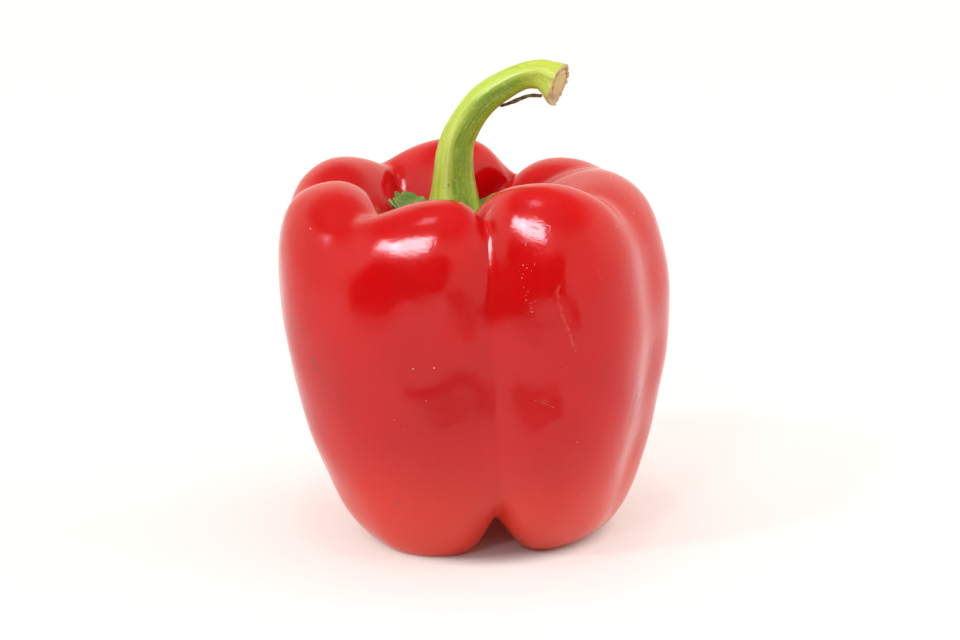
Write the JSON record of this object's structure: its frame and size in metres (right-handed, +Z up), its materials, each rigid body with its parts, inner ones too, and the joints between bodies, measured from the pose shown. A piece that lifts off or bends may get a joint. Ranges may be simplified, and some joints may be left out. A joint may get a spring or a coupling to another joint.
{
  "type": "bell pepper",
  "caption": "Whole bell pepper with a glossy lobed fruit, a toothed calyx in its sunken crown and a curved cut stalk; it stands upright on its lobes.",
  "frame": {"origin": "centre of the whole part's plan box, on the surface that the pepper stands on", "axes": "+Z up through the crown and the stalk, +X to the side that the stalk bends towards, -Y the front with the deepest furrow"},
  "size_m": [0.0886, 0.0766, 0.1093],
  "materials": {
    "skin": "smooth waxy pepper skin, deep red, glossy",
    "calyx": "dark green leafy calyx, satin",
    "stalk": "ribbed yellow-green stalk with a dry tan cut end, satin",
    "dried_skin": "dried olive-brown sliver of stalk skin, matt"
  },
  "bodies": {
    "root": {"fruit": "skin", "calyx": "calyx", "stalk": "stalk", "peeled_strip": "dried_skin"}
  },
  "joints": []
}
